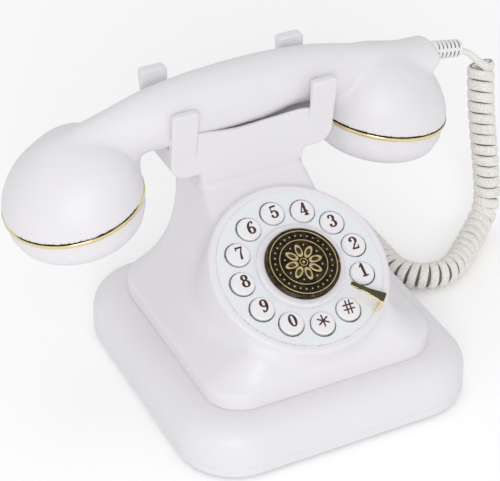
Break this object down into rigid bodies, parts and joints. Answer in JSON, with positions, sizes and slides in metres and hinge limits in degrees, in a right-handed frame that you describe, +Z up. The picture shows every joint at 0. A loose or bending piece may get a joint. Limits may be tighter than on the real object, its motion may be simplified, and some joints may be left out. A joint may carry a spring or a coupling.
{
  "type": "retro desk telephone",
  "caption": "Retro desk telephone with a flared square base, leaning push-button dial, horned cradle, arched handset and curly cord.",
  "frame": {"origin": "on the table under the middle of the telephone without its cord", "axes": "+Z up, dial facing -Y, +X to the dial's right, where the cord leaves the handset"},
  "size_m": [0.2568, 0.1842, 0.1358],
  "materials": {
    "shell": "smooth matte warm white",
    "plate": "glossy cool white",
    "disc": "glossy white",
    "key": "glossy white with copper-brown characters",
    "bronze": "antique bronze with brighter raised rings",
    "brass": "polished antique brass",
    "gold": "polished gold",
    "braid": "woven off-white",
    "lead": "smooth off-white",
    "clear": "glossy pale grey",
    "rubber": "dull black",
    "membrane": "dull grey",
    "socket": "dull black",
    "board": "green solder mask",
    "steel": "zinc plated",
    "iron": "bare cast"
  },
  "bodies": {
    "base": {"base_tray": "shell", "rubber_feet": "rubber", "tray_screws": "steel", "plinth_shell": "shell", "main_board": "board", "board_screws": "steel", "handset_jack": "socket", "line_jack": "socket", "ringer_speaker": "socket", "ballast_weight": "iron", "body_housing": "shell", "dial_plate": "plate", "dial_centre_disc": "disc", "finger_stop": "brass", "keypad_membrane": "membrane", "keypad_board": "board", "keypad_screws": "steel", "cradle": "shell", "hook_spring": "steel", "hook_switch": "socket", "hook_screws": "steel", "handset_lead": "lead", "curly_cord": "braid", "base_lead": "lead", "cord_plug": "clear"},
    "handset": {"handset_shell": "shell", "earpiece_ring": "gold", "earpiece_cap": "shell", "mouthpiece_ring": "gold", "mouthpiece_cap": "shell", "receiver_capsule": "socket", "microphone_capsule": "socket", "handset_weight": "iron", "cord_boot": "disc"},
    "key_1": {"button_1": "key"},
    "key_2": {"button_2": "key"},
    "key_3": {"button_3": "key"},
    "key_4": {"button_4": "key"},
    "key_5": {"button_5": "key"},
    "key_6": {"button_6": "key"},
    "key_7": {"button_7": "key"},
    "key_8": {"button_8": "key"},
    "key_9": {"button_9": "key"},
    "key_0": {"button_0": "key"},
    "key_star": {"button_star": "key"},
    "key_hash": {"button_hash": "key"},
    "rocker": {"redial_rocker": "bronze"},
    "hook": {"hook_plunger": "disc"},
    "ringer": {"ringer_switch": "socket"}
  },
  "joints": [
    {"name": "handset_lift", "type": "slide", "parent": "base", "child": "handset", "axis": [0, 0, 1], "range_m": [0, 0.08]},
    {"name": "hook_press", "type": "slide", "parent": "base", "child": "hook", "axis": [0, 0, 1], "range_m": [0, 0.004], "stiffness_N_per_m": 40, "springref_m": 0.004, "deforming": ["hook_spring"]},
    {"name": "redial_rock", "type": "hinge", "parent": "base", "child": "rocker", "pos_m": [0.0036, -0.02307, 0.0641], "axis": [1, 0, 0], "range_deg": [-2.5, 2.5], "stiffness_Nm_per_rad": 0.2},
    {"name": "ringer_slide", "type": "slide", "parent": "base", "child": "ringer", "axis": [1, 0, 0], "range_m": [-0.004, 0.004]},
    {"name": "press_1", "type": "slide", "parent": "base", "child": "key_1", "axis": [0, 0.4909, -0.8712], "range_m": [0, 0.0014], "stiffness_N_per_m": 300, "springref_m": -0.0005},
    {"name": "press_2", "type": "slide", "parent": "base", "child": "key_2", "axis": [0, 0.4909, -0.8712], "range_m": [0, 0.0014], "stiffness_N_per_m": 300, "springref_m": -0.0005},
    {"name": "press_3", "type": "slide", "parent": "base", "child": "key_3", "axis": [0, 0.4909, -0.8712], "range_m": [0, 0.0014], "stiffness_N_per_m": 300, "springref_m": -0.0005},
    {"name": "press_4", "type": "slide", "parent": "base", "child": "key_4", "axis": [0, 0.4909, -0.8712], "range_m": [0, 0.0014], "stiffness_N_per_m": 300, "springref_m": -0.0005},
    {"name": "press_5", "type": "slide", "parent": "base", "child": "key_5", "axis": [0, 0.4909, -0.8712], "range_m": [0, 0.0014], "stiffness_N_per_m": 300, "springref_m": -0.0005},
    {"name": "press_6", "type": "slide", "parent": "base", "child": "key_6", "axis": [0, 0.4909, -0.8712], "range_m": [0, 0.0014], "stiffness_N_per_m": 300, "springref_m": -0.0005},
    {"name": "press_7", "type": "slide", "parent": "base", "child": "key_7", "axis": [0, 0.4909, -0.8712], "range_m": [0, 0.0014], "stiffness_N_per_m": 300, "springref_m": -0.0005},
    {"name": "press_8", "type": "slide", "parent": "base", "child": "key_8", "axis": [0, 0.4909, -0.8712], "range_m": [0, 0.0014], "stiffness_N_per_m": 300, "springref_m": -0.0005},
    {"name": "press_9", "type": "slide", "parent": "base", "child": "key_9", "axis": [0, 0.4909, -0.8712], "range_m": [0, 0.0014], "stiffness_N_per_m": 300, "springref_m": -0.0005},
    {"name": "press_0", "type": "slide", "parent": "base", "child": "key_0", "axis": [0, 0.4909, -0.8712], "range_m": [0, 0.0014], "stiffness_N_per_m": 300, "springref_m": -0.0005},
    {"name": "press_star", "type": "slide", "parent": "base", "child": "key_star", "axis": [0, 0.4909, -0.8712], "range_m": [0, 0.0014], "stiffness_N_per_m": 300, "springref_m": -0.0005},
    {"name": "press_hash", "type": "slide", "parent": "base", "child": "key_hash", "axis": [0, 0.4909, -0.8712], "range_m": [0, 0.0014], "stiffness_N_per_m": 300, "springref_m": -0.0005}
  ],
  "couplings": [
    {"joint": "hook_press", "follows": "handset_lift", "ratio": 0.05}
  ]
}
